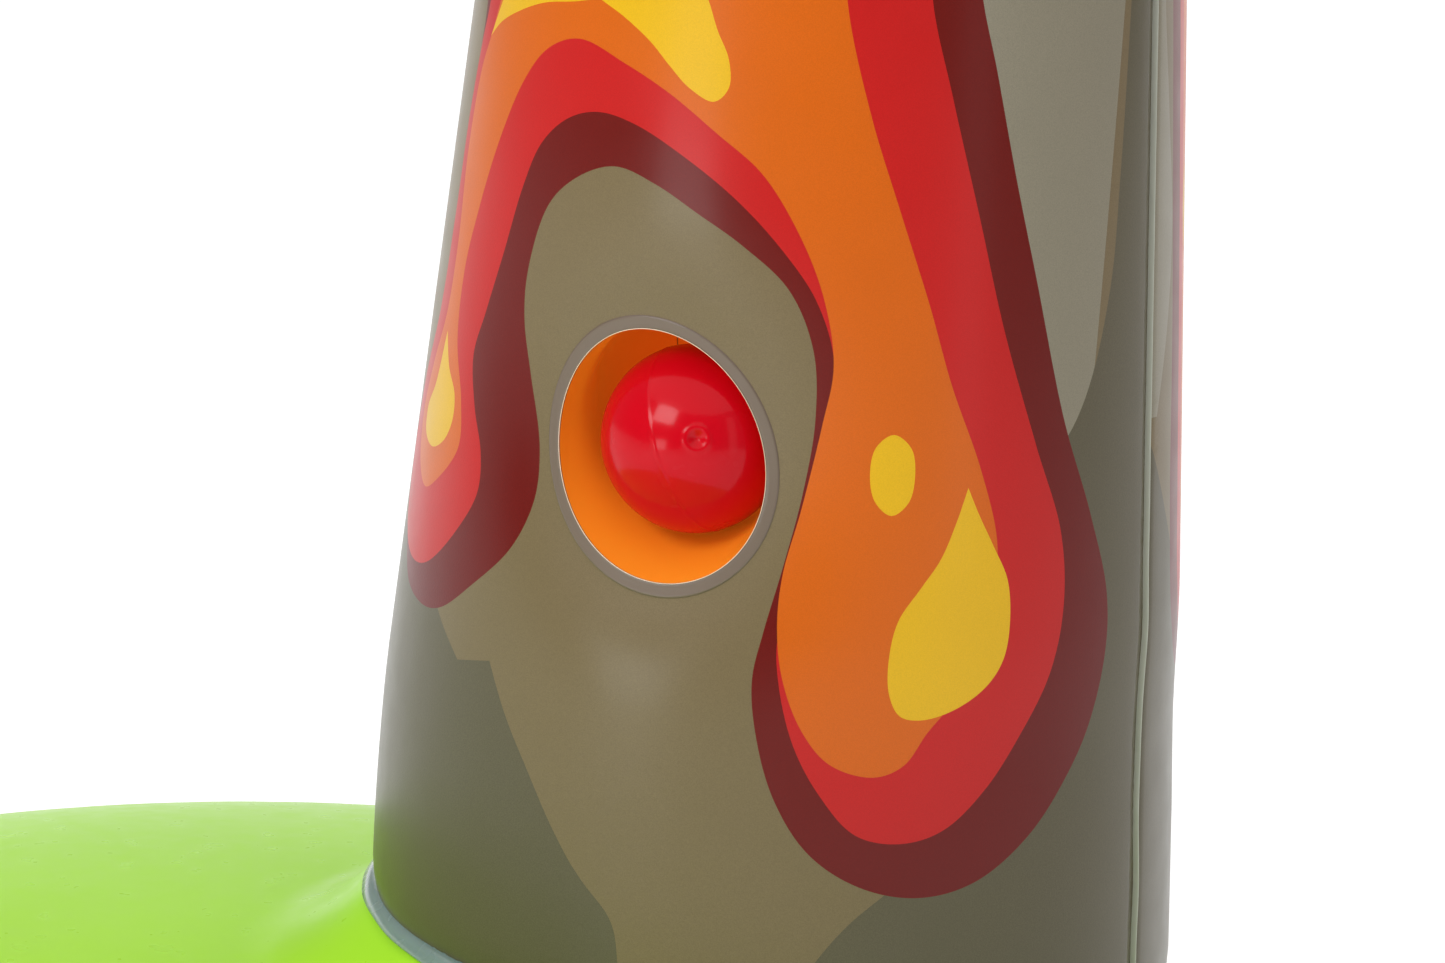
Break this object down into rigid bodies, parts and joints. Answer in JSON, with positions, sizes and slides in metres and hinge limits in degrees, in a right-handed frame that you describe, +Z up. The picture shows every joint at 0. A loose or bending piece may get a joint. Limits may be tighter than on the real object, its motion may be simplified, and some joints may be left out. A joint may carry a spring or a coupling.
{
  "type": "inflatable volcano ball tower",
  "caption": "Inflatable volcano tower on a round inflated base, with a crater, an inner chute, an outlet and one loose play ball.",
  "frame": {"origin": "on the floor under the base, on the tower's upright axis", "axes": "+Z up along the tower, -Y out of the ball outlet, +X to the right of the outlet"},
  "size_m": [0.7739, 0.774, 0.7105],
  "materials": {
    "printed_vinyl": "satin, grained, printed with rock and lava",
    "orange_vinyl": "satin",
    "green_vinyl": "glossy",
    "clear_vinyl": "milky, translucent edge",
    "red_shell": "glossy, blow-moulded"
  },
  "bodies": {
    "tower_and_base": {"front_panel": "printed_vinyl", "back_panel": "printed_vinyl", "side_seams": "clear_vinyl", "top_panel": "printed_vinyl", "shoulder_seam": "clear_vinyl", "crater_ring": "clear_vinyl", "chute_shaft": "orange_vinyl", "chute_floor": "orange_vinyl", "shaft_weld": "clear_vinyl", "outlet_ramp": "orange_vinyl", "collar_weld": "clear_vinyl", "outlet_collar": "orange_vinyl", "port_flange": "clear_vinyl", "tower_bottom": "printed_vinyl", "foot_flange": "clear_vinyl", "plinth_skin": "green_vinyl", "base_top_skin": "green_vinyl", "base_bottom_skin": "green_vinyl", "rim_seam": "green_vinyl", "tower_valve_patch": "clear_vinyl", "base_valve_patch": "green_vinyl"},
    "ball": {"ball_shell": "red_shell", "ball_vent_plug": "red_shell"},
    "tower_valve_stem": {"tower_valve_stem": "clear_vinyl"},
    "tower_valve_plug": {"tower_valve_plug": "clear_vinyl"},
    "tower_valve_flap": {"tower_valve_flap": "clear_vinyl"},
    "base_valve_stem": {"base_valve_stem": "clear_vinyl"},
    "base_valve_plug": {"base_valve_plug": "clear_vinyl"},
    "base_valve_flap": {"base_valve_flap": "clear_vinyl"}
  },
  "joints": [
    {"name": "ball_roll", "type": "slide", "parent": "tower_and_base", "child": "ball", "axis": [0, -0.9659, -0.2588], "range_m": [-0.125, 0.125]},
    {"name": "tower_valve_push", "type": "slide", "parent": "tower_and_base", "child": "tower_valve_stem", "axis": [0, 1, 0], "range_m": [-0.008, 0]},
    {"name": "tower_plug_hinge", "type": "hinge", "parent": "tower_valve_stem", "child": "tower_valve_plug", "pos_m": [0, 0.16005, 0.2046], "axis": [1, 0, 0], "range_deg": [0, 150]},
    {"name": "tower_flap_hinge", "type": "hinge", "parent": "tower_valve_stem", "child": "tower_valve_flap", "pos_m": [0, 0.1368, 0.201], "axis": [-1, 0, 0], "range_deg": [0, 50], "stiffness_Nm_per_rad": 0.0001, "springref_deg": -28.65},
    {"name": "base_valve_push", "type": "slide", "parent": "tower_and_base", "child": "base_valve_stem", "axis": [0.0532, 0.2617, 0.9637], "range_m": [-0.008, 0]},
    {"name": "base_plug_hinge", "type": "hinge", "parent": "base_valve_stem", "child": "base_valve_plug", "pos_m": [-0.06125, 0.18883, 0.10732], "axis": [0.98, -0.199, 0], "range_deg": [0, 150]},
    {"name": "base_flap_hinge", "type": "hinge", "parent": "base_valve_stem", "child": "base_valve_flap", "pos_m": [-0.0618, 0.18614, 0.08395], "axis": [-0.98, 0.199, 0], "range_deg": [0, 50], "stiffness_Nm_per_rad": 0.0001, "springref_deg": -28.65}
  ]
}
